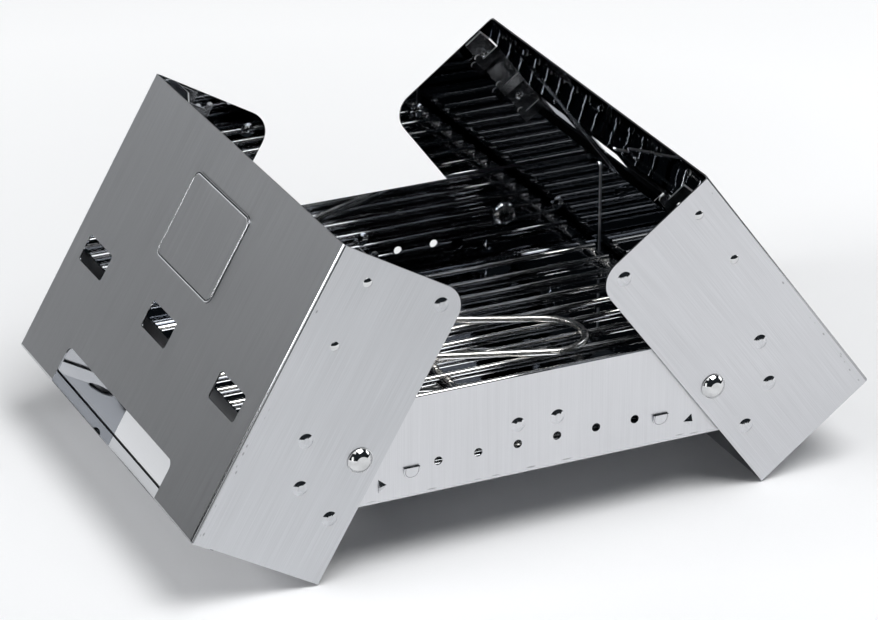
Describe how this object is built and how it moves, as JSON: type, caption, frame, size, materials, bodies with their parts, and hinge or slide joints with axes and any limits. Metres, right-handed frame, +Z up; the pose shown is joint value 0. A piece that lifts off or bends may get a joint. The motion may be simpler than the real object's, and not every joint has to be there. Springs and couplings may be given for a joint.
{
  "type": "folding charcoal grill",
  "caption": "Folding sheet-steel charcoal grill: a shallow fire tray hung by rivets between two swinging U-shaped shells with air windows, a loose wire grate and a lifting handle.",
  "frame": {"origin": "bottom centre of the bounding box of the standing grill, on the ground under its feet", "axes": "+X along the tray from the left shell to the right shell, +Y from the front wall to the back wall, +Z up"},
  "size_m": [0.3498, 0.2362, 0.1676],
  "materials": {
    "sheet_steel": "brushed outside, mirror bright inside",
    "plate_steel": "mirror bright",
    "hook_steel": "mirror bright",
    "rivet_steel": "polished",
    "wire_steel": "bright drawn wire"
  },
  "bodies": {
    "tray": {"tray": "sheet_steel", "left_front_pivot": "rivet_steel", "left_back_pivot": "rivet_steel", "right_front_pivot": "rivet_steel", "right_back_pivot": "rivet_steel", "left_front_collar": "rivet_steel", "left_back_collar": "rivet_steel", "right_front_collar": "rivet_steel", "right_back_collar": "rivet_steel", "left_front_washer": "rivet_steel", "left_back_washer": "rivet_steel", "right_front_washer": "rivet_steel", "right_back_washer": "rivet_steel"},
    "left_shell": {"left_shell": "sheet_steel", "left_bottom_plate": "plate_steel", "left_front_hooks": "hook_steel", "left_back_hooks": "hook_steel", "left_front_hook_rivets": "rivet_steel", "left_back_hook_rivets": "rivet_steel"},
    "right_shell": {"right_shell": "sheet_steel", "right_bottom_plate": "plate_steel", "right_front_hooks": "hook_steel", "right_back_hooks": "hook_steel", "right_front_hook_rivets": "rivet_steel", "right_back_hook_rivets": "rivet_steel"},
    "cooking_grate": {"grate_bars": "wire_steel", "grate_cross_wires": "wire_steel"},
    "lifting_handle": {"lifting_handle": "wire_steel"}
  },
  "joints": [
    {"name": "left_shell_hinge", "type": "hinge", "parent": "tray", "child": "left_shell", "pos_m": [-0.09184, 0, 0.05953], "axis": [0, 1, 0], "range_deg": [-30.2, 59.8]},
    {"name": "right_shell_hinge", "type": "hinge", "parent": "tray", "child": "right_shell", "pos_m": [0.09015, 0, 0.05723], "axis": [0, -1, 0], "range_deg": [-36.8, 53.2]},
    {"name": "grate_lift", "type": "slide", "parent": "tray", "child": "cooking_grate", "axis": [0.0126, 0, 0.9999], "range_m": [0, 0.045]},
    {"name": "handle_lift", "type": "slide", "parent": "cooking_grate", "child": "lifting_handle", "axis": [0.0126, 0, 0.9999], "range_m": [0, 0.015]}
  ]
}
